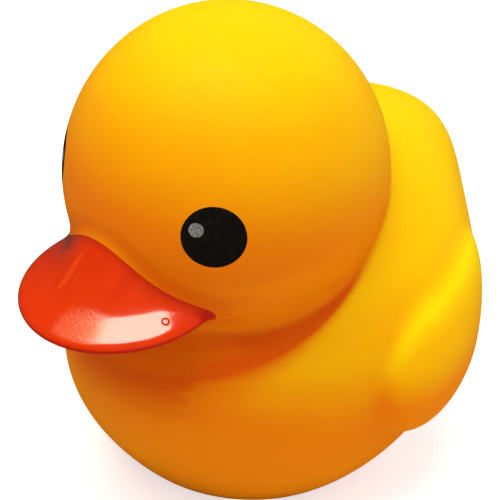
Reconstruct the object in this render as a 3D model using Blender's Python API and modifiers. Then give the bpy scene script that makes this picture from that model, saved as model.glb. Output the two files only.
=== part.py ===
"""A rubber bath duck: one hollow shell of soft vinyl, with a painted bill and painted eyes.

Metres, +Z up. The duck faces -Y, its left side is at +X, and the plane X = 0 halves it.
The origin is on the ground, under the middle of the duck's length.

Each rounded form of the duck is an ellipsoid. The forms overlap, and fillets blend them into one skin. A voxel
remesh of the forms, as plain overlapping ellipsoids, gives a closed surface, whose points are then pulled onto
that skin. The hollow inside is made the same way, a wall's thickness further in.
"""

import math

import bmesh
import bpy
import numpy as np
from mathutils import Matrix, Vector

# Body, placed by the height of its belly above the ground
BELLY_WIDTH = 0.0675
BELLY_LENGTH = 0.0728
BELLY_HEIGHT = 0.0493
BELLY_PITCH = math.radians(43)
BELLY_CENTRE_HEIGHT = 0.0242
CHEST_WIDTH = 0.0531
CHEST_LENGTH = 0.0572
CHEST_HEIGHT = 0.0479
CHEST_FORWARD = 0.0116  # from the belly's centre
CHEST_DROP = 0.0010

# Head, placed from the belly's centre
HEAD_WIDTH = 0.0517
HEAD_LENGTH = 0.0527
HEAD_HEIGHT = 0.0543
HEAD_FORWARD = 0.0122
HEAD_RISE = 0.0293

# Tail, placed from the belly's centre
TAIL_WIDTH = 0.0325
TAIL_LENGTH = 0.0447
TAIL_HEIGHT = 0.0240
TAIL_PITCH = math.radians(11)
TAIL_BACK = 0.0134
TAIL_RISE = 0.0165

# Wings, each a broad lobe with a slimmer tip behind it
WING_LENGTH = 0.0313
WING_HEIGHT = 0.0221
WING_THICKNESS = 0.0156
WING_TIP_LENGTH = 0.0156
WING_TIP_HEIGHT = 0.0090
WING_TIP_THICKNESS = 0.0068
WING_TIP_BACK = 0.0122  # from the lobe's centre, along the wing
WING_TIP_OUT = 0.0008
WING_TIP_RISE = 0.0016
WING_PITCH = math.radians(33)
WING_YAW = math.radians(18)
WING_ROLL = math.radians(13)  # the lobe's top leans in
WING_PROUD = 0.0026  # how far a wing stands out past the belly's side
WING_BACK = 0.0041  # from the belly's centre
WING_RISE = 0.0022

# Bill, placed from the head: a low dome with a flat underside, and a ridge that rises to the face
BILL_REACH = 0.0127  # how far the tip stands out in front of the head
BILL_WIDTH = 0.0325
BILL_LENGTH = 0.0336
BILL_HEIGHT = 0.0067
BILL_LIP = 0.0010  # from the dome's middle down to the underside
BILL_DROP = 0.0116  # from the head's centre down to the dome's
BILL_SLOPE = math.radians(5)
RIDGE_WIDTH = 0.0199
RIDGE_LENGTH = 0.0226
RIDGE_HEIGHT = 0.0247
RIDGE_SLOPE = math.radians(55)
RIDGE_BACK = 0.0034  # from the dome's centre
RIDGE_RISE = 0.0002

# Fillets, each given by how far it reaches to either side of its crease
CHEST_FILLET = 0.0078
TAIL_FILLET = 0.0078
WING_FILLET = 0.0012
WING_TIP_FILLET = 0.0058
RIDGE_FILLET = 0.0068
BILL_EDGE_FILLET = 0.0012
BILL_FILLET = 0.0026
NECK_FILLET_FRONT = 0.0033
NECK_FILLET_BACK = 0.0013

# Paint: the eyes with a glint in each, and the bill
EYE_DIAMETER = 0.0099
EYE_SIDE_ANGLE = math.radians(42)  # from straight ahead
EYE_RISE_ANGLE = math.radians(8)  # above the head's centre
GLINT_DIAMETER = 0.0023
GLINT_FORWARD = 0.0026  # from the eye's centre towards the bill
GLINT_RISE = 0.0012

# Shell
WALL = 0.0018
SQUEAK_HOLE_DIAMETER = 0.0030
BASE_EDGE_FILLET = 0.0012

# Surface detail
SKIN_VOXEL = 0.0008
HOLLOW_VOXEL = 0.0015
SKIN_TRIANGLES = 8000
HOLLOW_TRIANGLES = 2400
PULLS = 6
PROBE = 1e-5  # the step that a distance's slope is measured over
PAINT_MARGIN = 0.0012  # triangles this near a paint's edge stay small
PAINT_SNAP = 0.0002  # points this near a paint's edge move onto it
PAINT_PULLS = 3
ON_PAINT_EDGE = 1e-5
HALVINGS = 12
CHOSEN = "chosen"
FLAT = 0.0002  # points this near a base's height move onto it
TINY = 1e-9
MERGE = 3e-5
SPHERE_SUBDIVISIONS = 5
SQUEAK_HOLE_SIDES = 24
SHARP_ANGLE = math.radians(40)

MATERIALS = {  # colour, roughness
    "vinyl_yellow": ((1.0, 0.56, 0.0), 0.45),
    "bill_paint": ((0.78, 0.05, 0.0), 0.18),
    "eye_paint": ((0.005, 0.004, 0.004), 0.5),
    "glint_paint": ((0.35, 0.35, 0.35), 0.4),
}
VINYL, BILL_PAINT, EYE_PAINT, GLINT_PAINT = range(len(MATERIALS))


def ellipsoid_distance(local, radii):
    """How far points, given from its centre and along its axes, lie outside an ellipsoid or an ellipse."""
    reach = np.linalg.norm(local / radii, axis=1)
    slope = np.linalg.norm(local / radii**2, axis=1)
    return reach * (reach - 1) / np.maximum(slope, TINY)


class Form:
    """An ellipsoid, given by its centre and its three full sizes. It is turned about Y, X (rear up) and Z."""

    def __init__(self, centre, sizes, pitch=0.0, yaw=0.0, roll=0.0):
        self.centre = Vector(centre)
        self.radii = Vector(sizes) / 2
        self.turn = (
            Matrix.Rotation(yaw, 3, "Z") @ Matrix.Rotation(pitch, 3, "X") @ Matrix.Rotation(roll, 3, "Y")
        )

    def local(self, points):
        return (points - np.array(self.centre)) @ np.array(self.turn)

    def distance(self, points):
        """How far each point lies outside the form."""
        return ellipsoid_distance(self.local(points), np.array(self.radii))

    def from_unit_sphere(self, depth):
        """The transform from a unit sphere to the ellipsoid drawn in by depth."""
        radii = self.radii - Vector((depth, depth, depth))
        return Matrix.Translation(self.centre) @ self.turn.to_4x4() @ Matrix.Diagonal((*radii, 1))


EYE_TURN = Matrix.Rotation(EYE_SIDE_ANGLE, 3, "Z") @ Matrix.Rotation(-EYE_RISE_ANGLE, 3, "X")
BELLY = Form((0, 0, BELLY_CENTRE_HEIGHT), (BELLY_WIDTH, BELLY_LENGTH, BELLY_HEIGHT), BELLY_PITCH)
CHEST = Form(
    BELLY.centre + Vector((0, -CHEST_FORWARD, -CHEST_DROP)),
    (CHEST_WIDTH, CHEST_LENGTH, CHEST_HEIGHT),
)
TAIL = Form(
    BELLY.centre + Vector((0, TAIL_BACK, TAIL_RISE)),
    (TAIL_WIDTH, TAIL_LENGTH, TAIL_HEIGHT),
    TAIL_PITCH,
)
WING = Form(
    BELLY.centre + Vector((BELLY_WIDTH / 2 + WING_PROUD - WING_THICKNESS / 2, WING_BACK, WING_RISE)),
    (WING_THICKNESS, WING_LENGTH, WING_HEIGHT),
    WING_PITCH,
    WING_YAW,
    -WING_ROLL,
)
WING_TIP = Form(
    WING.centre + WING.turn @ Vector((WING_TIP_OUT, WING_TIP_BACK, WING_TIP_RISE)),
    (WING_TIP_THICKNESS, WING_TIP_LENGTH, WING_TIP_HEIGHT),
    WING_PITCH,
    WING_YAW,
    -WING_ROLL,
)
HEAD = Form(
    BELLY.centre + Vector((0, -HEAD_FORWARD, HEAD_RISE)),
    (HEAD_WIDTH, HEAD_LENGTH, HEAD_HEIGHT),
)
DOME = Form(
    HEAD.centre + Vector((0, BILL_LENGTH / 2 - HEAD_LENGTH / 2 - BILL_REACH, -BILL_DROP)),
    (BILL_WIDTH, BILL_LENGTH, BILL_HEIGHT),
    BILL_SLOPE,
)
RIDGE = Form(
    DOME.centre + Vector((0, RIDGE_BACK, RIDGE_RISE)),
    (RIDGE_WIDTH, RIDGE_LENGTH, RIDGE_HEIGHT),
    RIDGE_SLOPE,
)


def blend(first, second, fillet):
    """The distance to two shapes joined, with a fillet in the crease between them."""
    share = np.clip(0.5 + 0.5 * (second - first) / fillet, 0, 1)
    return second + (first - second) * share - fillet * share * (1 - share)


def to_left_side(points):
    """The same points, with those on the duck's right mirrored to its left."""
    return points * np.where(points[:, :1] < 0, (-1, 1, 1), (1, 1, 1))


def body_distance(points):
    """How far each point lies outside the body with its tail and wings."""
    left = to_left_side(points)
    trunk = blend(BELLY.distance(points), CHEST.distance(points), CHEST_FILLET)
    trunk = blend(trunk, TAIL.distance(points), TAIL_FILLET)
    wing = blend(WING.distance(left), WING_TIP.distance(left), WING_TIP_FILLET)
    return blend(trunk, wing, WING_FILLET)


def bill_distance(points):
    """How far each point lies outside the bill, whose underside is flat."""
    top = blend(DOME.distance(points), RIDGE.distance(points), RIDGE_FILLET)
    return -blend(-top, DOME.local(points)[:, 2] + BILL_LIP, BILL_EDGE_FILLET)


def on_flat_base(distance, points, floor):
    """The distance to a shape that a flat base cuts off at the floor's height."""
    return -blend(-distance, points[:, 2] - floor, BASE_EDGE_FILLET)


def on_neck(head, points):
    """The distance to a head joined to the body. The fillet in their crease slims from front to back."""
    back = np.clip(0.5 + HEAD.local(points)[:, 1] / HEAD_LENGTH, 0, 1)
    fillet = NECK_FILLET_FRONT + (NECK_FILLET_BACK - NECK_FILLET_FRONT) * back
    return blend(head, body_distance(points), fillet)


def duck_distance(points):
    """How far each point lies outside the whole duck."""
    head = blend(HEAD.distance(points), bill_distance(points), BILL_FILLET)
    return on_flat_base(on_neck(head, points), points, 0)


def hollow_distance(points):
    """How far each point lies outside the hollow. The bill is filled, because vinyl pools in its tip."""
    return on_flat_base(on_neck(HEAD.distance(points), points) + WALL, points, WALL)


def spot_distance(points, diameter, forward=0.0, rise=0.0):
    """How far each point lies outside a round spot painted at the eye, on either side of the head."""
    local = (to_left_side(points) - np.array(HEAD.centre)) @ np.array(EYE_TURN)
    across = np.hypot(local[:, 0] + forward, local[:, 2] - rise)
    return np.where(local[:, 1] < 0, across - diameter / 2, HEAD_WIDTH)


def bill_paint(points):
    """Negative where the bill stands out of the face."""
    return bill_distance(points) - np.minimum(HEAD.distance(points), body_distance(points))


def eye_paint(points):
    return spot_distance(points, EYE_DIAMETER)


def glint_paint(points):
    return spot_distance(points, GLINT_DIAMETER, GLINT_FORWARD, GLINT_RISE)


PAINTS = {BILL_PAINT: bill_paint, EYE_PAINT: eye_paint, GLINT_PAINT: glint_paint}


def get_points(mesh):
    points = np.empty(len(mesh.vertices) * 3, np.float32)
    mesh.vertices.foreach_get("co", points)
    return points.reshape(-1, 3).astype(np.float64)


def set_points(mesh, points):
    mesh.vertices.foreach_set("co", points.astype(np.float32).ravel())
    mesh.update()


def relaxed(mesh, points):
    """Each point moved halfway to the middle of its neighbours, which evens the mesh out."""
    ends = np.empty(len(mesh.edges) * 2, np.int32)
    mesh.edges.foreach_get("vertices", ends)
    ends = np.concatenate([ends.reshape(-1, 2), ends.reshape(-1, 2)[:, ::-1]])
    count = np.bincount(ends[:, 0], minlength=len(points))
    sums = [np.bincount(ends[:, 0], points[ends[:, 1], axis], len(points)) for axis in range(3)]
    return (points + np.stack(sums / count, axis=1)) / 2


def pulled(points, distance):
    """Each point moved along the distance's slope to where the distance is zero."""
    here = distance(points)
    slope = np.stack([distance(points + PROBE * axis) - here for axis in np.eye(3)], axis=1) / PROBE
    return points - slope * (here / (slope**2).sum(axis=1))[:, None]


def modified(mesh, kind, chosen=(), **settings):
    """The mesh that a modifier makes of this one, whose chosen points are in a vertex group."""
    carrier = bpy.data.objects.new("carrier", mesh)
    bpy.context.scene.collection.objects.link(carrier)
    carrier.vertex_groups.new(name=CHOSEN).add(list(chosen), 1, "REPLACE")
    modifier = carrier.modifiers.new(kind, kind)
    for name, value in settings.items():
        setattr(modifier, name, value)
    graph = bpy.context.evaluated_depsgraph_get()
    result = bpy.data.meshes.new_from_object(carrier.evaluated_get(graph))
    bpy.data.objects.remove(carrier)
    bpy.data.meshes.remove(mesh)
    return result


def overlapping_spheres(forms, depth):
    """One mesh with a sphere for each form, scaled and turned to it and drawn in by depth."""
    mesh = bpy.data.meshes.new("spheres")
    cage = bmesh.new()
    for form in forms:
        bmesh.ops.create_icosphere(
            cage,
            subdivisions=SPHERE_SUBDIVISIONS,
            radius=1,
            matrix=form.from_unit_sphere(depth),
        )
    cage.to_mesh(mesh)
    cage.free()
    return mesh


def mirror_left_half(mesh):
    """Replaces the right half of the mesh with its left half, mirrored."""
    halves = bmesh.new()
    halves.from_mesh(mesh)
    everything = halves.verts[:] + halves.edges[:] + halves.faces[:]
    bmesh.ops.symmetrize(halves, input=everything, direction="X", dist=MERGE)
    halves.to_mesh(mesh)
    halves.free()


def snapped(points, distance, reach):
    """The points with those within reach of the surface where the distance is zero moved onto it."""
    near = np.abs(distance(points)) < reach
    points[near] = pulled(points[near], distance)
    return points


def thinned(mesh, triangles, paints):
    """The mesh with its triangles merged down to a number, apart from those along the edges of the paints."""
    points = get_points(mesh)
    chosen = {index for paint in paints for index in np.flatnonzero(np.abs(paint(points)) < PAINT_MARGIN)}
    return modified(
        mesh,
        "DECIMATE",
        map(int, chosen),
        ratio=triangles / (2 * len(mesh.polygons)),
        vertex_group=CHOSEN,
        invert_vertex_group=True,
    )


def crossing(paint, starts, ends):
    """How far along from each start to its end the edge of a paint lies, found by halving the way."""
    low = np.zeros(len(starts))
    high = np.ones(len(starts))
    painted = paint(starts) < 0
    for _ in range(HALVINGS):
        middle = (low + high) / 2
        before = (paint(starts + (ends - starts) * middle[:, None]) < 0) == painted
        low = np.where(before, middle, low)
        high = np.where(before, high, middle)
    return (low + high) / 2


def cut_along(mesh, paint):
    """Splits the faces of the mesh where the edge of a paint runs across them."""
    points = get_points(mesh)
    values = paint(points)
    values[np.abs(values) < ON_PAINT_EDGE] = 0
    knife = bmesh.new()
    knife.from_mesh(mesh)
    crossed = []
    for edge in knife.edges:
        start, end = (values[point.index] for point in edge.verts)
        if start * end < 0:
            crossed.append(edge)
    on_edge = [point for point in knife.verts if values[point.index] == 0]
    starts = points[[edge.verts[0].index for edge in crossed]]
    ends = points[[edge.verts[1].index for edge in crossed]]
    for edge, share in zip(crossed, crossing(paint, starts, ends)):
        on_edge.append(bmesh.utils.edge_split(edge, edge.verts[0], share)[1])
    bmesh.ops.connect_verts(knife, verts=on_edge)
    bmesh.ops.triangulate(knife, faces=knife.faces[:])
    knife.to_mesh(mesh)
    knife.free()


def skin(forms, distance, voxel, triangles, depth=0.0, paints=()):
    """A closed, symmetric mesh of the surface where the distance is zero.

    The forms give the spheres that it starts from, a voxel too large, so that a thin form isn't lost.
    Only their left half counts: it is mirrored at the end.
    The edge of each paint is cut into it.
    """
    spheres = overlapping_spheres(forms, depth - voxel)
    mesh = modified(spheres, "REMESH", mode="VOXEL", voxel_size=voxel)
    points = get_points(mesh)
    for _ in range(PULLS):
        points = pulled(relaxed(mesh, points), distance)
    set_points(mesh, points)
    mesh = thinned(mesh, triangles, paints)
    for paint in paints:
        points = get_points(mesh)
        for _ in range(PAINT_PULLS):
            points = pulled(snapped(points, paint, PAINT_SNAP), distance)
        set_points(mesh, points)
        cut_along(mesh, paint)
    mirror_left_half(mesh)
    points = get_points(mesh)
    points = pulled(pulled(points, distance), distance)
    points[points[:, 2] < depth + FLAT, 2] = depth
    set_points(mesh, points)
    return mesh


def paint_faces(mesh):
    """Gives each face the material of the paint that covers it."""
    for name, (colour, roughness) in MATERIALS.items():
        mesh.materials.append(principled(name, colour, roughness))
    first_corners = np.empty(len(mesh.polygons), np.int32)
    mesh.polygons.foreach_get("loop_start", first_corners)
    corners = np.empty(len(mesh.loops), np.int32)
    mesh.loops.foreach_get("vertex_index", corners)
    points = get_points(mesh)[corners]
    slots = np.full(len(first_corners), VINYL)
    for slot, paint in PAINTS.items():
        slots[np.add.reduceat(paint(points), first_corners) < 0] = slot
    mesh.polygons.foreach_set("material_index", slots.astype(np.int32))


def principled(name, colour, roughness):
    material = bpy.data.materials.new(name)
    material.use_nodes = True
    shader = material.node_tree.nodes["Principled BSDF"]
    shader.inputs["Base Color"].default_value = (*colour, 1)
    shader.inputs["Roughness"].default_value = roughness
    material.diffuse_color = (*colour, 1)
    return material


def add_object(name, mesh, collection):
    made = bpy.data.objects.new(name, mesh)
    collection.objects.link(made)
    return made


def add_cutter(name, mesh, collection):
    cutter = add_object(name, mesh, collection)
    cutter.hide_render = True
    cutter.display_type = "WIRE"
    return cutter


def new_collection(name):
    collection = bpy.data.collections.new(name)
    bpy.context.scene.collection.children.link(collection)
    return collection


def squeak_hole(middle):
    """A cylinder through the base's wall, standing in its middle."""
    mesh = bpy.data.meshes.new("squeak_hole")
    drill = bmesh.new()
    radius = SQUEAK_HOLE_DIAMETER / 2
    half_side = Matrix.Rotation(math.pi / SQUEAK_HOLE_SIDES, 4, "Z")
    bmesh.ops.create_cone(
        drill,
        cap_ends=True,
        segments=SQUEAK_HOLE_SIDES,
        radius1=radius,
        radius2=radius,
        depth=4 * WALL,
        matrix=Matrix.Translation(middle) @ half_side,
    )
    drill.to_mesh(mesh)
    drill.free()
    return mesh


def middle_of(points, axis):
    return (points[:, axis].min() + points[:, axis].max()) / 2


def build_duck():
    body_forms = [BELLY, CHEST, TAIL, WING, WING_TIP, HEAD]
    outside = skin(
        body_forms + [DOME, RIDGE],
        duck_distance,
        SKIN_VOXEL,
        SKIN_TRIANGLES,
        paints=PAINTS.values(),
    )
    inside = skin(body_forms, hollow_distance, HOLLOW_VOXEL, HOLLOW_TRIANGLES, depth=WALL)
    paint_faces(outside)
    points = get_points(outside)
    on_ground = points[points[:, 2] == 0]
    hole = squeak_hole((0, middle_of(on_ground, 1), 0))
    to_origin = Matrix.Translation((0, -middle_of(points, 1), 0))
    for mesh in (outside, inside, hole):
        mesh.transform(to_origin)

    cutters = new_collection("cutters")
    duck = add_object("duck_shell", outside, new_collection("rubber_duck"))
    for name, mesh in (("hollow", inside), ("squeak_hole", hole)):
        cut = duck.modifiers.new(name, "BOOLEAN")
        cut.operation = "DIFFERENCE"
        cut.solver = "EXACT"
        cut.object = add_cutter(name, mesh, cutters)
    outside.shade_smooth()
    outside.set_sharp_from_angle(angle=SHARP_ANGLE)


def clear_scene():
    for item in list(bpy.data.objects):
        bpy.data.objects.remove(item)


clear_scene()
build_duck()
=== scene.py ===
"""The looks of the rubber bath duck: soft yellow vinyl, a glossy painted bill and painted eyes.

The duck's skin is made from the same forms and sizes as the part, with a finer mesh, so that it takes the
place of the part's shell. Everything is in metres, in the part's frame: +Z up, the duck faces -Y.
"""

import math

import bmesh
import bpy
import numpy as np
from mathutils import Matrix, Vector


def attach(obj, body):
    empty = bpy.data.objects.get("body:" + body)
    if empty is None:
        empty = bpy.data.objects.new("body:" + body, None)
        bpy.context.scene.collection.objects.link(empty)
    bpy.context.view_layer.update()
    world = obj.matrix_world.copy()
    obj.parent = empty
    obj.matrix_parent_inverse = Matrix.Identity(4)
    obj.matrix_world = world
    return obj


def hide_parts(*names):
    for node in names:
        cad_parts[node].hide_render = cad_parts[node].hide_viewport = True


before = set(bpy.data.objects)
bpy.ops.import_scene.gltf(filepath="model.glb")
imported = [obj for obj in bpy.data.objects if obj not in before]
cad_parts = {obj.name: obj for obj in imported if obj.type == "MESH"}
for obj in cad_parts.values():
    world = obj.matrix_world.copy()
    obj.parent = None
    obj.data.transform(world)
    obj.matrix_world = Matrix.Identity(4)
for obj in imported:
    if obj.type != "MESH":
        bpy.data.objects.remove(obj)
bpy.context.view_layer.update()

# Body, placed by the height of its belly above the ground
BELLY_WIDTH = 0.0675
BELLY_LENGTH = 0.0728
BELLY_HEIGHT = 0.0493
BELLY_PITCH = math.radians(43)
BELLY_CENTRE_HEIGHT = 0.0242
CHEST_WIDTH = 0.0531
CHEST_LENGTH = 0.0572
CHEST_HEIGHT = 0.0479
CHEST_FORWARD = 0.0116  # from the belly's centre
CHEST_DROP = 0.0010

# Head, placed from the belly's centre
HEAD_WIDTH = 0.0517
HEAD_LENGTH = 0.0527
HEAD_HEIGHT = 0.0543
HEAD_FORWARD = 0.0122
HEAD_RISE = 0.0293

# Tail, placed from the belly's centre
TAIL_WIDTH = 0.0325
TAIL_LENGTH = 0.0447
TAIL_HEIGHT = 0.0240
TAIL_PITCH = math.radians(11)
TAIL_BACK = 0.0134
TAIL_RISE = 0.0165

# Wings, each a broad lobe with a slimmer tip behind it
WING_LENGTH = 0.0313
WING_HEIGHT = 0.0221
WING_THICKNESS = 0.0156
WING_TIP_LENGTH = 0.0156
WING_TIP_HEIGHT = 0.0090
WING_TIP_THICKNESS = 0.0068
WING_TIP_BACK = 0.0122  # from the lobe's centre, along the wing
WING_TIP_OUT = 0.0008
WING_TIP_RISE = 0.0016
WING_PITCH = math.radians(33)
WING_YAW = math.radians(18)
WING_ROLL = math.radians(13)  # the lobe's top leans in
WING_PROUD = 0.0026  # how far a wing stands out past the belly's side
WING_BACK = 0.0041  # from the belly's centre
WING_RISE = 0.0022

# Bill, placed from the head: a low dome with a flat underside, and a ridge that rises to the face
BILL_REACH = 0.0127  # how far the tip stands out in front of the head
BILL_WIDTH = 0.0325
BILL_LENGTH = 0.0336
BILL_HEIGHT = 0.0067
BILL_LIP = 0.0010  # from the dome's middle down to the underside
BILL_DROP = 0.0116  # from the head's centre down to the dome's
BILL_SLOPE = math.radians(5)
RIDGE_WIDTH = 0.0199
RIDGE_LENGTH = 0.0226
RIDGE_HEIGHT = 0.0247
RIDGE_SLOPE = math.radians(55)
RIDGE_BACK = 0.0034  # from the dome's centre
RIDGE_RISE = 0.0002

# Fillets, each given by how far it reaches to either side of its crease
CHEST_FILLET = 0.0078
TAIL_FILLET = 0.0078
WING_FILLET = 0.0012
WING_TIP_FILLET = 0.0058
RIDGE_FILLET = 0.0068
BILL_EDGE_FILLET = 0.0012
BILL_FILLET = 0.0026
NECK_FILLET_FRONT = 0.0033
NECK_FILLET_BACK = 0.0013

# Paint: the eyes with a glint in each, and the bill
EYE_DIAMETER = 0.0099
EYE_SIDE_ANGLE = math.radians(42)  # from straight ahead
EYE_RISE_ANGLE = math.radians(8)  # above the head's centre
GLINT_DIAMETER = 0.0023
GLINT_FORWARD = 0.0026  # from the eye's centre towards the bill
GLINT_RISE = 0.0012

# Squeak hole, in the middle of the base
SQUEAK_HOLE_DIAMETER = 0.0030
SQUEAK_HOLE_DEPTH = 0.0060
SQUEAK_HOLE_SIDES = 24
BASE_EDGE_FILLET = 0.0012

# Mesh
SKIN_VOXEL = 0.00056
PULLS = 6
PROBE = 1e-5  # the step that a distance's slope is measured over
PAINT_SNAP = 0.00015  # points this near a paint's edge move onto it
PAINT_PULLS = 3
ON_PAINT_EDGE = 1e-5
HALVINGS = 12
FLAT = 0.0002  # points this near the base's height move onto it
TINY = 1e-9
MERGE = 3e-5
SPHERE_SUBDIVISIONS = 5
SHARP_ANGLE = math.radians(40)

# Light on the skin: how far out towards the lamp something that shades a point is looked for
SHADE_START = 0.0006
SHADE_STEPS = (
    0.001, 0.002, 0.003, 0.0045, 0.006, 0.008, 0.010, 0.012, 0.015, 0.018, 0.022, 0.026, 0.031, 0.037, 0.044
)
SHADE_SPREAD = 11.0  # the higher, the crisper the edge of the shade
BODY_BRIGHTENING = 1.22  # the body gets more of the light that the floor and the wings throw back

# Deep shade, in the hollows between the forms: how far straight out of the skin they are looked for
HOLLOW_STEPS = (0.010, 0.018, 0.028)
HOLLOW_DEPTH = 0.6
TURNED_UP_DEPTH = 1.5
DEEPEST_SHADE = 0.85
TIGHT_HOLLOW = (0.5, 0.7)  # hollows past this take less of the colour, as little light reaches them anyway
TIGHT_HOLLOW_SHARE = 0.65

# Zones of the skin with painted light or shade, and how far they reach
WING_EDGE_PROUD = 0.0009  # the painted light on a wing's edge, by how far it stands out of the trunk
WING_EDGE_REACH = 0.0012
FACE_REACH = 0.0070  # from the bill over the face, and from the face over the bill
RIM_REACH = 0.0030

# Marks in the bill's paint, placed from the dome's middle: worn gloss and a bubble, and a faint painted
# highlight along the ridge
SCUFF_PLACE = Vector((0.0044, -0.0134, 0.0006))
SCUFF_REACH = 0.0060
BUBBLE_PLACE = Vector((0.0135, -0.0035, 0.0016))
BUBBLE_RADIUS = 0.0007
BUBBLE_HEIGHT = 0.0002
RIDGE_HIGHLIGHT_START = Vector((-0.0022, -0.0061, 0.0078))
RIDGE_HIGHLIGHT_END = Vector((-0.0031, -0.0106, 0.0027))
RIDGE_HIGHLIGHT_REACH = 0.0009

# Texture of the materials, by the size of its spots and the depth of its bumps
VINYL_CLOUD_SIZE = 0.014
VINYL_SPECK_SIZE = 0.0006
VINYL_SHEEN_SIZE = 0.003
VINYL_WAVE_SIZE = 0.010
VINYL_WAVE_DEPTH = 0.00012
VINYL_GRAIN_SIZE = 0.0005
VINYL_GRAIN_DEPTH = 0.00003
BILL_RUN_SIZE = 0.0022
BILL_RUN_STRETCH = (1.0, 0.25, 0.6)
BILL_RUN_DEPTH = 0.00003
BILL_SHEEN_SIZE = 0.0012
BRUSH_SPECK_SIZE = 0.00035
BRUSH_SPECK_DEPTH = 0.00008
EYE_CLOUD_SIZE = 0.0012
EYE_SHEEN_SIZE = 0.0006
EYE_GRAIN_SIZE = 0.0004
EYE_GRAIN_DEPTH = 0.00002
GLINT_SPECK_SIZE = 0.00022
GLINT_SPECK_DEPTH = 0.00002

# Gloss of the materials, and how far light goes into them for red, green and blue
SHEEN_NOISE = (0.3, 0.7)  # the part of the noise that roughness varies over
VINYL_ROUGHNESS = (0.48, 0.58)
VINYL_GLOSS = 0.05
VINYL_LIGHT_SHARE = 0.5
VINYL_LIGHT_REACH = (0.012, 0.004, 0.001)
BILL_ROUGHNESS = (0.12, 0.18)
BILL_COAT_ROUGHNESS = 0.08
BILL_WORN_COAT = 0.40
BILL_LIGHT_SHARE = 0.15
BILL_LIGHT_REACH = (0.004, 0.001, 0.0005)
EYE_ROUGHNESS = (0.42, 0.58)
EYE_GLOSS = 0.15
GLINT_ROUGHNESS = (0.55, 0.35)
FLOOR_ROUGHNESS = 0.9

# Colours, as linear light
# Lemon is painted light on the wings' edges; gold is painted where the lamp falls fullest and is also the
# random clouds and specks; orange and the red-brown after it are painted shade
LEMON = (1.0, 0.78, 0.0)
YELLOW = (1.0, 0.62, 0.0)
GOLD = (1.0, 0.52, 0.0)
ORANGE = (0.92, 0.20, 0.0)
DEEP_SHADE_RED = (0.70, 0.074, 0.0)
BILL_ORANGE = (0.74, 0.038, 0.0)
BILL_RED = (0.70, 0.032, 0.0)
# painted shade, against the face and along the rim where it turns away from the lamp
BILL_DARK = (0.54, 0.010, 0.0)
# a painted highlight along the bill's ridge
BILL_PAINTED_HIGHLIGHT = (0.82, 0.062, 0.002)
SCUFF_GOLD = (1.0, 0.66, 0.16)
EYE_BLACK = (0.006, 0.004, 0.003)
EYE_BROWN = (0.012, 0.007, 0.004)
SILVER = (0.34, 0.33, 0.32)
SILVER_DARK = (0.08, 0.075, 0.075)
WHITE = (1.0, 1.0, 1.0)

# How the vinyl's colour follows the light on it, from 0 in the shade to 1 where it faces the lamp
ORANGE_SHARE = 0.88
ORANGE_END = 0.57
GOLD_START = 0.8
GOLD_SHARE = 0.7
WING_EDGE_LIGHT = (0.4, 0.6)
FACE_SHADE = (0.2, 0.9)  # how near the bill, from 0 to 1, the face takes the deepest painted shade
FACE_SHADE_SHARE = 0.6
CLOUD_SHARE = 0.25
SPECK_SHARE = 0.10

# How the bill's paint takes painted shade, from 0 to 1: against the face, and along its rim where that is
# turned down
BILL_ROOT = (0.78, 1.0)
BILL_RIM = (0.3, 1.0)
TURNED_DOWN_LIGHT = (0.6, 0.1)

# Camera, aimed at a point a little to the right of the head's middle, as it sees it, and below it
CAMERA_AZIMUTH = math.radians(45.629)  # from straight ahead, towards the duck's left
CAMERA_ELEVATION = math.radians(33.312)
CAMERA_DISTANCE = 0.3040
TARGET_RIGHT = 0.0037
TARGET_UP = -0.0128
FOCAL_LENGTH = 137.55  # millimetres
SENSOR_WIDTH = 36.0  # millimetres

# Lights: one long softbox overhead, a little to the camera's side and its left, and a fill from all round
KEY_HEIGHT = 0.90
KEY_LEFT = 0.12
KEY_NEAR = 0.06
KEY_LENGTH = 0.92
KEY_WIDTH = 0.42
KEY_TURN = math.radians(8)  # its right end comes nearer to the camera
KEY_POWER = 8.0
KEY_COLOUR = (1.0, 0.96, 0.80)
KEY_LEAN = math.radians(7)  # how far the light on the whole leans to the camera's right
FILL_LEFT = 0.34  # the fill's strength at the camera's left
FILL_RIGHT = 0.80
MIRRORED_STRENGTH = 0.025  # what reflections see of the background
FLOOR_SIDE = 4.0
FLOOR_COLOUR = (0.75, 0.75, 0.75)
FLOOR_MIRRORED = (0.02, 0.02, 0.02)
FLOOR_GLOW = 0.60  # what the camera sees added to the floor, so that it reads as white

UP = Vector((0, 0, 1))
VINYL, BILL_PAINT, EYE_PAINT, GLINT_PAINT = range(4)


def ellipsoid_distance(local, radii):
    """How far points, given from its centre and along its axes, lie outside an ellipsoid or an ellipse."""
    reach = np.linalg.norm(local / radii, axis=1)
    slope = np.linalg.norm(local / radii**2, axis=1)
    return reach * (reach - 1) / np.maximum(slope, TINY)


class Form:
    """An ellipsoid, by its centre and its three full sizes. It is turned about Y, X (rear up) and Z."""

    def __init__(self, centre, sizes, pitch=0.0, yaw=0.0, roll=0.0):
        self.centre = Vector(centre)
        self.radii = Vector(sizes) / 2
        self.turn = (
            Matrix.Rotation(yaw, 3, "Z") @ Matrix.Rotation(pitch, 3, "X") @ Matrix.Rotation(roll, 3, "Y")
        )

    def local(self, points):
        return (points - np.array(self.centre)) @ np.array(self.turn)

    def distance(self, points):
        """How far each point lies outside the form."""
        return ellipsoid_distance(self.local(points), np.array(self.radii))

    def from_unit_sphere(self, depth):
        """The transform from a unit sphere to the ellipsoid drawn in by depth."""
        radii = self.radii - Vector((depth, depth, depth))
        return Matrix.Translation(self.centre) @ self.turn.to_4x4() @ Matrix.Diagonal((*radii, 1))


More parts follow.
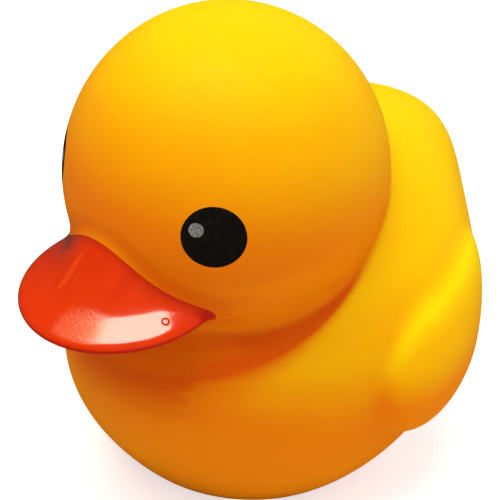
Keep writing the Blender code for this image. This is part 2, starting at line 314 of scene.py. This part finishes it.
EYE_TURN = Matrix.Rotation(EYE_SIDE_ANGLE, 3, "Z") @ Matrix.Rotation(-EYE_RISE_ANGLE, 3, "X")
BELLY = Form((0, 0, BELLY_CENTRE_HEIGHT), (BELLY_WIDTH, BELLY_LENGTH, BELLY_HEIGHT), BELLY_PITCH)
CHEST = Form(
    BELLY.centre + Vector((0, -CHEST_FORWARD, -CHEST_DROP)),
    (CHEST_WIDTH, CHEST_LENGTH, CHEST_HEIGHT),
)
TAIL = Form(
    BELLY.centre + Vector((0, TAIL_BACK, TAIL_RISE)),
    (TAIL_WIDTH, TAIL_LENGTH, TAIL_HEIGHT),
    TAIL_PITCH,
)
WING = Form(
    BELLY.centre + Vector((BELLY_WIDTH / 2 + WING_PROUD - WING_THICKNESS / 2, WING_BACK, WING_RISE)),
    (WING_THICKNESS, WING_LENGTH, WING_HEIGHT),
    WING_PITCH,
    WING_YAW,
    -WING_ROLL,
)
WING_TIP = Form(
    WING.centre + WING.turn @ Vector((WING_TIP_OUT, WING_TIP_BACK, WING_TIP_RISE)),
    (WING_TIP_THICKNESS, WING_TIP_LENGTH, WING_TIP_HEIGHT),
    WING_PITCH,
    WING_YAW,
    -WING_ROLL,
)
HEAD = Form(
    BELLY.centre + Vector((0, -HEAD_FORWARD, HEAD_RISE)),
    (HEAD_WIDTH, HEAD_LENGTH, HEAD_HEIGHT),
)
DOME = Form(
    HEAD.centre + Vector((0, BILL_LENGTH / 2 - HEAD_LENGTH / 2 - BILL_REACH, -BILL_DROP)),
    (BILL_WIDTH, BILL_LENGTH, BILL_HEIGHT),
    BILL_SLOPE,
)
RIDGE = Form(
    DOME.centre + Vector((0, RIDGE_BACK, RIDGE_RISE)),
    (RIDGE_WIDTH, RIDGE_LENGTH, RIDGE_HEIGHT),
    RIDGE_SLOPE,
)


def blend(first, second, fillet):
    """The distance to two shapes joined, with a fillet in the crease between them."""
    share = np.clip(0.5 + 0.5 * (second - first) / fillet, 0, 1)
    return second + (first - second) * share - fillet * share * (1 - share)


def to_left_side(points):
    """The same points, with those on the duck's right mirrored to its left."""
    return points * np.where(points[:, :1] < 0, (-1, 1, 1), (1, 1, 1))


def trunk_distance(points):
    """How far each point lies outside the body with its tail."""
    trunk = blend(BELLY.distance(points), CHEST.distance(points), CHEST_FILLET)
    return blend(trunk, TAIL.distance(points), TAIL_FILLET)


def wing_distance(points):
    """How far each point lies outside the wing on its side."""
    left = to_left_side(points)
    return blend(WING.distance(left), WING_TIP.distance(left), WING_TIP_FILLET)


def body_distance(points):
    """How far each point lies outside the body with its tail and wings."""
    return blend(trunk_distance(points), wing_distance(points), WING_FILLET)


def bill_distance(points):
    """How far each point lies outside the bill, whose underside is flat."""
    top = blend(DOME.distance(points), RIDGE.distance(points), RIDGE_FILLET)
    return -blend(-top, DOME.local(points)[:, 2] + BILL_LIP, BILL_EDGE_FILLET)


def on_flat_base(distance, points, floor):
    """The distance to a shape that a flat base cuts off at the floor's height."""
    return -blend(-distance, points[:, 2] - floor, BASE_EDGE_FILLET)


def on_neck(head, points):
    """The distance to a head joined to the body. The fillet in their crease slims from front to back."""
    back = np.clip(0.5 + HEAD.local(points)[:, 1] / HEAD_LENGTH, 0, 1)
    fillet = NECK_FILLET_FRONT + (NECK_FILLET_BACK - NECK_FILLET_FRONT) * back
    return blend(head, body_distance(points), fillet)


def duck_distance(points):
    """How far each point lies outside the whole duck."""
    head = blend(HEAD.distance(points), bill_distance(points), BILL_FILLET)
    return on_flat_base(on_neck(head, points), points, 0)


def spot_distance(points, diameter, forward=0.0, rise=0.0):
    """How far each point lies outside a round spot painted at the eye, on either side of the head."""
    local = (to_left_side(points) - np.array(HEAD.centre)) @ np.array(EYE_TURN)
    across = np.hypot(local[:, 0] + forward, local[:, 2] - rise)
    return np.where(local[:, 1] < 0, across - diameter / 2, HEAD_WIDTH)


def bill_paint(points):
    """Negative where the bill stands out of the face."""
    return bill_distance(points) - np.minimum(HEAD.distance(points), body_distance(points))


def eye_paint(points):
    return spot_distance(points, EYE_DIAMETER)


def glint_paint(points):
    return spot_distance(points, GLINT_DIAMETER, GLINT_FORWARD, GLINT_RISE)


PAINTS = {BILL_PAINT: bill_paint, EYE_PAINT: eye_paint, GLINT_PAINT: glint_paint}


def get_points(mesh):
    points = np.empty(len(mesh.vertices) * 3, np.float32)
    mesh.vertices.foreach_get("co", points)
    return points.reshape(-1, 3).astype(np.float64)


def set_points(mesh, points):
    mesh.vertices.foreach_set("co", points.astype(np.float32).ravel())
    mesh.update()


def relaxed(mesh, points):
    """Each point moved halfway to the middle of its neighbours, which evens the mesh out."""
    ends = np.empty(len(mesh.edges) * 2, np.int32)
    mesh.edges.foreach_get("vertices", ends)
    ends = np.concatenate([ends.reshape(-1, 2), ends.reshape(-1, 2)[:, ::-1]])
    count = np.bincount(ends[:, 0], minlength=len(points))
    sums = [np.bincount(ends[:, 0], points[ends[:, 1], axis], len(points)) for axis in range(3)]
    return (points + np.stack(sums / count, axis=1)) / 2


def pulled(points, distance):
    """Each point moved along the distance's slope to where the distance is zero."""
    here = distance(points)
    slope = np.stack([distance(points + PROBE * axis) - here for axis in np.eye(3)], axis=1) / PROBE
    return points - slope * (here / (slope**2).sum(axis=1))[:, None]


def modified(mesh, kind, **settings):
    """The mesh that a modifier makes of this one."""
    carrier = bpy.data.objects.new("carrier", mesh)
    bpy.context.scene.collection.objects.link(carrier)
    modifier = carrier.modifiers.new(kind, kind)
    for name, value in settings.items():
        setattr(modifier, name, value)
    graph = bpy.context.evaluated_depsgraph_get()
    result = bpy.data.meshes.new_from_object(carrier.evaluated_get(graph))
    bpy.data.objects.remove(carrier)
    bpy.data.meshes.remove(mesh)
    return result


def overlapping_spheres(forms, depth):
    """One mesh with a sphere for each form, scaled and turned to it and drawn in by depth."""
    mesh = bpy.data.meshes.new("spheres")
    cage = bmesh.new()
    for form in forms:
        bmesh.ops.create_icosphere(
            cage,
            subdivisions=SPHERE_SUBDIVISIONS,
            radius=1,
            matrix=form.from_unit_sphere(depth),
        )
    cage.to_mesh(mesh)
    cage.free()
    return mesh


def mirror_left_half(mesh):
    """Replaces the right half of the mesh with its left half, mirrored."""
    halves = bmesh.new()
    halves.from_mesh(mesh)
    everything = halves.verts[:] + halves.edges[:] + halves.faces[:]
    bmesh.ops.symmetrize(halves, input=everything, direction="X", dist=MERGE)
    halves.to_mesh(mesh)
    halves.free()


def snapped(points, distance, reach):
    """The points with those within reach of the surface where the distance is zero moved onto it."""
    near = np.abs(distance(points)) < reach
    points[near] = pulled(points[near], distance)
    return points


def crossing(paint, starts, ends):
    """How far along from each start to its end the edge of a paint lies, found by halving the way."""
    low = np.zeros(len(starts))
    high = np.ones(len(starts))
    painted = paint(starts) < 0
    for _ in range(HALVINGS):
        middle = (low + high) / 2
        before = (paint(starts + (ends - starts) * middle[:, None]) < 0) == painted
        low = np.where(before, middle, low)
        high = np.where(before, high, middle)
    return (low + high) / 2


def cut_along(mesh, paint):
    """Splits the faces of the mesh where the edge of a paint runs across them."""
    points = get_points(mesh)
    values = paint(points)
    values[np.abs(values) < ON_PAINT_EDGE] = 0
    knife = bmesh.new()
    knife.from_mesh(mesh)
    crossed = []
    for edge in knife.edges:
        start, end = (values[point.index] for point in edge.verts)
        if start * end < 0:
            crossed.append(edge)
    on_edge = [point for point in knife.verts if values[point.index] == 0]
    starts = points[[edge.verts[0].index for edge in crossed]]
    ends = points[[edge.verts[1].index for edge in crossed]]
    for edge, share in zip(crossed, crossing(paint, starts, ends)):
        on_edge.append(bmesh.utils.edge_split(edge, edge.verts[0], share)[1])
    bmesh.ops.connect_verts(knife, verts=on_edge)
    bmesh.ops.triangulate(knife, faces=knife.faces[:])
    knife.to_mesh(mesh)
    knife.free()


def skin(forms, distance, voxel, paints):
    """A closed, symmetric mesh of the surface where the distance is zero, cut along each paint's edge.

    The forms give the spheres that it starts from, a voxel too large, so that a thin form isn't lost.
    Only their left half counts: it is mirrored at the end.
    """
    mesh = modified(overlapping_spheres(forms, -voxel), "REMESH", mode="VOXEL", voxel_size=voxel)
    points = get_points(mesh)
    for _ in range(PULLS):
        points = pulled(relaxed(mesh, points), distance)
    set_points(mesh, points)
    for paint in paints:
        points = get_points(mesh)
        for _ in range(PAINT_PULLS):
            points = pulled(snapped(points, paint, PAINT_SNAP), distance)
        set_points(mesh, points)
        cut_along(mesh, paint)
    mirror_left_half(mesh)
    points = get_points(mesh)
    points = pulled(pulled(points, distance), distance)
    points[points[:, 2] < FLAT, 2] = 0
    set_points(mesh, points)
    return mesh


def middle_of(points, axis):
    return (points[:, axis].min() + points[:, axis].max()) / 2


def near(first, second, reach):
    """One in the crease where two shapes meet, fading to zero at a reach from it."""
    return np.clip(1 - np.maximum(first, second) / reach, 0, 1)


def openness(points, normals, towards):
    """How open each point is in one direction: less so in the shade of the head, the bill and the wings."""
    starts = points + normals * SHADE_START
    opening = np.ones(len(points))
    for step in SHADE_STEPS:
        opening = np.minimum(opening, SHADE_SPREAD * duck_distance(starts + towards * step) / step)
    return np.clip(opening, 0, 1)


def hollowness(points, normals):
    """How shut in each point is by the forms round it, from 0 on a rounded form to 1 in a tight crease."""
    closed = [np.clip(1 - duck_distance(points + normals * step) / step, 0, 1) for step in HOLLOW_STEPS]
    return np.mean(closed, axis=0)


def add_shades(mesh, towards_light):
    """Stores how lit each point is, how deep in shade, and how far into each zone of painted light or shade.
    """
    points = get_points(mesh)
    head = HEAD.distance(points)
    bill = bill_distance(points)
    across = ellipsoid_distance(DOME.local(points)[:, :2], np.array(DOME.radii)[:2])
    normals = np.empty(len(points) * 3, np.float32)
    mesh.vertices.foreach_get("normal", normals)
    normals = normals.reshape(-1, 3).astype(np.float64)
    lit = np.clip(normals @ towards_light, 0, 1) * np.sqrt(openness(points, normals, towards_light))
    lit = np.where(body_distance(points) < head, np.minimum(BODY_BRIGHTENING * lit, 1), lit)
    hollow = hollowness(points, normals)
    shade = np.clip(HOLLOW_DEPTH * hollow + TURNED_UP_DEPTH * np.maximum(normals[:, 2], 0), 0, DEEPEST_SHADE)
    shade *= np.interp(hollow, TIGHT_HOLLOW, (1, TIGHT_HOLLOW_SHARE))
    proud = trunk_distance(points) - wing_distance(points)
    shades = {
        "lit": lit,
        "shade": shade * (1 - lit),
        "painted_wing_light": np.clip(1 - np.abs(proud - WING_EDGE_PROUD) / WING_EDGE_REACH, 0, 1),
        "face": near(head, bill, FACE_REACH),
        "rim": np.clip(1 + across / RIM_REACH, 0, 1),
    }
    for name, values in shades.items():
        layer = mesh.attributes.new(name, "FLOAT", "POINT")
        layer.data.foreach_set("value", values.astype(np.float32))


def paint_faces(mesh, materials):
    """Gives each face the material of the paint that covers it."""
    for material in materials:
        mesh.materials.append(material)
    first_corners = np.empty(len(mesh.polygons), np.int32)
    mesh.polygons.foreach_get("loop_start", first_corners)
    corners = np.empty(len(mesh.loops), np.int32)
    mesh.loops.foreach_get("vertex_index", corners)
    points = get_points(mesh)[corners]
    slots = np.full(len(first_corners), VINYL)
    for slot, paint in PAINTS.items():
        slots[np.add.reduceat(paint(points), first_corners) < 0] = slot
    mesh.polygons.foreach_set("material_index", slots.astype(np.int32))


def squeak_hole(middle):
    """A cylinder that stands in the base, as deep as the squeak hole."""
    mesh = bpy.data.meshes.new("squeak_hole")
    drill = bmesh.new()
    radius = SQUEAK_HOLE_DIAMETER / 2
    half_side = Matrix.Rotation(math.pi / SQUEAK_HOLE_SIDES, 4, "Z")
    bmesh.ops.create_cone(
        drill,
        cap_ends=True,
        segments=SQUEAK_HOLE_SIDES,
        radius1=radius,
        radius2=radius,
        depth=2 * SQUEAK_HOLE_DEPTH,
        matrix=Matrix.Translation(middle) @ half_side,
    )
    drill.to_mesh(mesh)
    drill.free()
    return mesh


def build_duck(towards_light):
    """The duck's whole skin as one piece, with its paints, and its shift along Y to the part's place."""
    forms = [BELLY, CHEST, TAIL, WING, WING_TIP, HEAD, DOME, RIDGE]
    mesh = skin(forms, duck_distance, SKIN_VOXEL, PAINTS.values())
    add_shades(mesh, towards_light)
    points = get_points(mesh)
    on_ground = points[points[:, 2] == 0]
    drill = bpy.data.objects.new("drill", squeak_hole((0, middle_of(on_ground, 1), 0)))
    bpy.context.scene.collection.objects.link(drill)
    mesh = modified(mesh, "BOOLEAN", operation="DIFFERENCE", solver="EXACT", object=drill)
    bpy.data.objects.remove(drill)
    shift = -middle_of(points, 1)
    bill_middle = DOME.centre + Vector((0, shift, 0))
    bill = bill_paint_material(bill_middle)
    paint_faces(mesh, [vinyl_material(), bill, eye_paint_material(), glint_paint_material()])
    mesh.transform(Matrix.Translation((0, shift, 0)))
    mesh.name = "duck"
    duck = bpy.data.objects.new("duck", mesh)
    bpy.context.scene.collection.objects.link(duck)
    mesh.shade_smooth()
    mesh.set_sharp_from_angle(angle=SHARP_ANGLE)
    return duck, shift


class Nodes:
    """The nodes of one material or of the world."""

    def __init__(self, owner):
        owner.use_nodes = True
        self.tree = owner.node_tree
        self.coordinates = None

    def add(self, kind, inputs=None, **settings):
        """A new node. Each input is given by its name or number, as a value or as the socket behind it."""
        node = self.tree.nodes.new(kind)
        for name, value in settings.items():
            setattr(node, name, value)
        self.feed(node, inputs or {})
        return node

    def feed(self, node, inputs):
        for key, value in inputs.items():
            if isinstance(value, bpy.types.NodeSocket):
                self.tree.links.new(value, node.inputs[key])
            elif isinstance(value, tuple) and len(value) < len(node.inputs[key].default_value):
                node.inputs[key].default_value = (*value, 1)
            else:
                node.inputs[key].default_value = value

    def place(self, stretch=None):
        """The object's own coordinates in metres, stretched if wanted."""
        if self.coordinates is None:
            self.coordinates = self.add("ShaderNodeTexCoord").outputs["Object"]
        if stretch is None:
            return self.coordinates
        return self.add("ShaderNodeMapping", {"Vector": self.coordinates, "Scale": stretch}).outputs[0]

    def noise(self, size, detail=3.0, roughness=0.5, stretch=None):
        """Noise whose spots are about the given size across, from 0 to 1."""
        inputs = {
            "Vector": self.place(stretch),
            "Scale": 1 / size,
            "Detail": detail,
            "Roughness": roughness,
        }
        return self.add("ShaderNodeTexNoise", inputs).outputs["Fac"]

    def attribute(self, name):
        return self.add("ShaderNodeAttribute", attribute_name=name).outputs["Fac"]

    def ramp(self, value, start, end, low=0.0, high=1.0):
        """The value brought smoothly from start..end to low..high."""
        inputs = {"Value": value, "From Min": start, "From Max": end, "To Min": low, "To Max": high}
        return self.add("ShaderNodeMapRange", inputs, interpolation_type="SMOOTHSTEP").outputs["Result"]

    def share(self, value, low, high):
        """The value from 0..1 brought to low..high."""
        inputs = {"Value": value, "To Min": low, "To Max": high}
        return self.add("ShaderNodeMapRange", inputs).outputs["Result"]

    def sheen(self, size, roughness):
        """A roughness that varies in spots of a size, from its lowest to its highest value."""
        return self.ramp(self.noise(size), *SHEEN_NOISE, *roughness)

    def times(self, first, second):
        return self.add("ShaderNodeMath", {0: first, 1: second}, operation="MULTIPLY").outputs[0]

    def most(self, first, second):
        return self.add("ShaderNodeMath", {0: first, 1: second}, operation="MAXIMUM").outputs[0]

    def distance(self, place):
        """How far a point of the object is from a place."""
        inputs = {0: self.place(), 1: tuple(place)}
        return self.add("ShaderNodeVectorMath", inputs, operation="DISTANCE").outputs["Value"]

    def line(self, start, end, reach):
        """One on the straight line from one place to another, fading to zero at a reach from it."""
        length = (end - start).length
        detour = self.add("ShaderNodeMath", {0: self.distance(start), 1: self.distance(end)}).outputs[0]
        return self.ramp(detour, math.hypot(length, 2 * reach), length)

    def mixed(self, share, first, second):
        """Two colours mixed by a share of the second."""
        mix = self.add("ShaderNodeMix", {0: share, 6: first, 7: second}, data_type="RGBA")
        return mix.outputs[2]

    def bump(self, height, depth, strength=1.0, normal=None):
        inputs = {"Height": height, "Distance": depth, "Strength": strength}
        if normal is not None:
            inputs["Normal"] = normal
        return self.add("ShaderNodeBump", inputs).outputs["Normal"]


def new_material(name, colour):
    material = bpy.data.materials.new(name)
    material.diffuse_color = (*colour, 1)
    nodes = Nodes(material)
    return material, nodes, nodes.tree.nodes["Principled BSDF"]


def vinyl_material():
    """Soft vinyl that lets some light in: yellow, with painted light where the lamp falls and painted shade,
    deeper in the creases and where it turns down.
    """
    material, nodes, shader = new_material("vinyl_yellow", YELLOW)
    lit = nodes.attribute("lit")
    cloudy = nodes.ramp(nodes.noise(VINYL_CLOUD_SIZE, detail=2), 0.35, 0.70, 0.0, CLOUD_SHARE)
    # painted light: gold where the lamp falls fullest; the random clouds take gold too
    full_light = nodes.ramp(lit, GOLD_START, 1.0, 0.0, GOLD_SHARE)
    colour = nodes.mixed(nodes.most(cloudy, full_light), YELLOW, GOLD)
    # painted light: lemon on a wing's edge where the lamp falls on it
    painted_wing_light = nodes.times(nodes.attribute("painted_wing_light"), nodes.ramp(lit, *WING_EDGE_LIGHT))
    colour = nodes.mixed(painted_wing_light, colour, LEMON)
    # painted shade: orange where the lamp's light falls off
    colour = nodes.mixed(nodes.ramp(lit, 0.0, ORANGE_END, ORANGE_SHARE, 0.0), colour, ORANGE)
    # painted shade: red-brown in the hollows, on unlit skin under the head and on the face beside the bill
    shade_near_bill = nodes.ramp(nodes.attribute("face"), *FACE_SHADE, 0.0, FACE_SHADE_SHARE)
    colour = nodes.mixed(nodes.most(nodes.attribute("shade"), shade_near_bill), colour, DEEP_SHADE_RED)
    speck = nodes.ramp(nodes.noise(VINYL_SPECK_SIZE, detail=2), 0.60, 0.75, 0.0, SPECK_SHARE)
    colour = nodes.mixed(speck, colour, GOLD)
    grain = nodes.bump(nodes.noise(VINYL_GRAIN_SIZE, detail=2), VINYL_GRAIN_DEPTH, 0.5)
    wavy = nodes.bump(nodes.noise(VINYL_WAVE_SIZE, detail=1), VINYL_WAVE_DEPTH, 0.6, grain)
    nodes.feed(shader, {
        "Base Color": colour,
        "Roughness": nodes.sheen(VINYL_SHEEN_SIZE, VINYL_ROUGHNESS),
        "Normal": wavy,
        "Specular IOR Level": VINYL_GLOSS,
        "Subsurface Weight": VINYL_LIGHT_SHARE,
        "Subsurface Radius": VINYL_LIGHT_REACH,
        "Subsurface Scale": 1.0,
    })
    return material


def bill_paint_material(middle):
    """Glossy orange-red paint with its runs and marks, painted shade along the rim and against the face, and
    a painted highlight along the ridge.
    """
    material, nodes, shader = new_material("bill_paint", BILL_ORANGE)
    run = nodes.noise(BILL_RUN_SIZE, stretch=BILL_RUN_STRETCH)
    colour = nodes.mixed(nodes.ramp(run, 0.35, 0.70), BILL_ORANGE, BILL_RED)
    # a painted highlight along the ridge of the bill
    ridge_highlight = nodes.line(middle + RIDGE_HIGHLIGHT_START, middle + RIDGE_HIGHLIGHT_END, RIDGE_HIGHLIGHT_REACH)
    colour = nodes.mixed(ridge_highlight, colour, BILL_PAINTED_HIGHLIGHT)
    # painted shade: darker against the face and along the rim where it turns away from the lamp
    turned_down = nodes.ramp(nodes.attribute("lit"), *TURNED_DOWN_LIGHT)
    painted_shade = nodes.most(
        nodes.ramp(nodes.attribute("face"), *BILL_ROOT),
        nodes.times(nodes.ramp(nodes.attribute("rim"), *BILL_RIM), turned_down),
    )
    colour = nodes.mixed(painted_shade, colour, BILL_DARK)
    scuffed = nodes.ramp(nodes.distance(middle + SCUFF_PLACE), SCUFF_REACH, SCUFF_REACH / 3)
    specks = nodes.noise(BRUSH_SPECK_SIZE, roughness=0.7)
    worn = nodes.times(scuffed, nodes.ramp(specks, 0.40, 0.60, 1.0, 0.35))
    runs = nodes.bump(run, BILL_RUN_DEPTH, 0.4)
    rough = nodes.times(nodes.share(specks, -0.5, 0.5), scuffed)
    brushed = nodes.bump(rough, BRUSH_SPECK_DEPTH, normal=runs)
    bubble = nodes.ramp(nodes.distance(middle + BUBBLE_PLACE), BUBBLE_RADIUS, BUBBLE_RADIUS / 2)
    blistered = nodes.bump(bubble, BUBBLE_HEIGHT, normal=brushed)
    nodes.feed(shader, {
        "Base Color": colour,
        "Roughness": nodes.sheen(BILL_SHEEN_SIZE, BILL_ROUGHNESS),
        "Normal": blistered,
        "Specular Tint": nodes.mixed(scuffed, WHITE, SCUFF_GOLD),
        "Coat Weight": nodes.share(worn, 1.0, BILL_WORN_COAT),
        "Coat Roughness": BILL_COAT_ROUGHNESS,
        "Coat Normal": blistered,
        "Subsurface Weight": BILL_LIGHT_SHARE,
        "Subsurface Radius": BILL_LIGHT_REACH,
        "Subsurface Scale": 1.0,
    })
    return material


def eye_paint_material():
    """Black paint with a dull gloss."""
    material, nodes, shader = new_material("eye_paint", EYE_BLACK)
    cloudy = nodes.ramp(nodes.noise(EYE_CLOUD_SIZE), 0.4, 0.7)
    nodes.feed(shader, {
        "Base Color": nodes.mixed(cloudy, EYE_BLACK, EYE_BROWN),
        "Roughness": nodes.sheen(EYE_SHEEN_SIZE, EYE_ROUGHNESS),
        "Normal": nodes.bump(nodes.noise(EYE_GRAIN_SIZE, detail=2), EYE_GRAIN_DEPTH, 0.4),
        "Specular IOR Level": EYE_GLOSS,
    })
    return material


def glint_paint_material():
    """Silver paint, dabbed on and speckled."""
    material, nodes, shader = new_material("glint_paint", SILVER)
    specks = nodes.ramp(nodes.noise(GLINT_SPECK_SIZE, detail=4, roughness=0.7), 0.40, 0.60)
    nodes.feed(shader, {
        "Base Color": nodes.mixed(specks, SILVER_DARK, SILVER),
        "Roughness": nodes.ramp(specks, 0.0, 1.0, *GLINT_ROUGHNESS),
        "Normal": nodes.bump(specks, GLINT_SPECK_DEPTH, 0.6),
    })
    return material


def direction(azimuth, elevation):
    """The unit vector to a place seen at an azimuth, from straight ahead of the duck, and an elevation."""
    level = math.cos(elevation)
    return Vector((math.sin(azimuth) * level, -math.cos(azimuth) * level, math.sin(elevation)))


def placed(place, along, away):
    """The transform of something at a place, whose X lies along one direction and whose Z points away."""
    turn = Matrix((along, away.cross(along), away)).transposed().to_4x4()
    return Matrix.Translation(place) @ turn


def add_camera(head_centre, right):
    towards = direction(CAMERA_AZIMUTH, CAMERA_ELEVATION)
    target = head_centre + right * TARGET_RIGHT + towards.cross(right) * TARGET_UP
    lens = bpy.data.cameras.new("camera")
    lens.lens = FOCAL_LENGTH
    lens.sensor_width = SENSOR_WIDTH
    camera = bpy.data.objects.new("camera", lens)
    bpy.context.scene.collection.objects.link(camera)
    camera.matrix_world = placed(target + towards * CAMERA_DISTANCE, right, towards)
    bpy.context.scene.camera = camera


def add_softbox(target, right):
    """One long softbox over the duck, with its long side across the camera's view."""
    light = bpy.data.lights.new("key", "AREA")
    light.shape = "ELLIPSE"
    light.size = KEY_LENGTH
    light.size_y = KEY_WIDTH
    light.energy = KEY_POWER
    light.color = KEY_COLOUR
    softbox = bpy.data.objects.new("key", light)
    bpy.context.scene.collection.objects.link(softbox)
    offset = UP * KEY_HEIGHT - right * KEY_LEFT + right.cross(UP) * KEY_NEAR
    away = offset.normalized()
    side = right * math.cos(KEY_TURN) + right.cross(UP) * math.sin(KEY_TURN)
    along = (side - away * side.dot(away)).normalized()
    softbox.matrix_world = placed(target + offset, along, away)


def seen_directly(path, nodes):
    """One for rays from the camera and for views through glass, zero for the rest."""
    return nodes.most(path["Is Camera Ray"], path["Is Transmission Ray"])


def light_world(right):
    """A fill that is stronger from the camera's right. The camera sees it as white, reflections as dim."""
    world = bpy.data.worlds.new("studio")
    bpy.context.scene.world = world
    nodes = Nodes(world)
    path = nodes.add("ShaderNodeLightPath").outputs
    way = nodes.add("ShaderNodeTexCoord").outputs["Generated"]
    rightwards = nodes.add("ShaderNodeVectorMath", {0: way, 1: tuple(right)}, operation="DOT_PRODUCT")
    fill = nodes.ramp(rightwards.outputs["Value"], -1.0, 1.0, FILL_LEFT, FILL_RIGHT)
    fill = nodes.share(path["Is Glossy Ray"], fill, MIRRORED_STRENGTH)
    strength = nodes.share(seen_directly(path, nodes), fill, 1.0)
    nodes.feed(nodes.tree.nodes["Background"], {"Color": WHITE, "Strength": strength})


def add_floor():
    """A pale floor. What the camera sees is lifted to white, and the duck's shadow stays."""
    mesh = bpy.data.meshes.new("floor")
    plane = bmesh.new()
    bmesh.ops.create_grid(plane, x_segments=1, y_segments=1, size=FLOOR_SIDE / 2)
    plane.to_mesh(mesh)
    plane.free()
    material, nodes, shader = new_material("floor", FLOOR_COLOUR)
    path = nodes.add("ShaderNodeLightPath").outputs
    nodes.feed(shader, {
        "Base Color": nodes.mixed(path["Is Glossy Ray"], FLOOR_COLOUR, FLOOR_MIRRORED),
        "Roughness": FLOOR_ROUGHNESS,
        "Emission Color": WHITE,
        "Emission Strength": nodes.share(seen_directly(path, nodes), 0.0, FLOOR_GLOW),
    })
    mesh.materials.append(material)
    floor = bpy.data.objects.new("floor", mesh)
    bpy.context.scene.collection.objects.link(floor)


right = Vector((math.cos(CAMERA_AZIMUTH), math.sin(CAMERA_AZIMUTH), 0))
towards_light = np.array(UP * math.cos(KEY_LEAN) + right * math.sin(KEY_LEAN))
duck, shift = build_duck(towards_light)
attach(duck, "root")
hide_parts("duck_shell")
head_centre = HEAD.centre + Vector((0, shift, 0))
add_camera(head_centre, right)
add_softbox(head_centre, right)
light_world(right)
add_floor()
bpy.context.scene.view_settings.view_transform = "Standard"
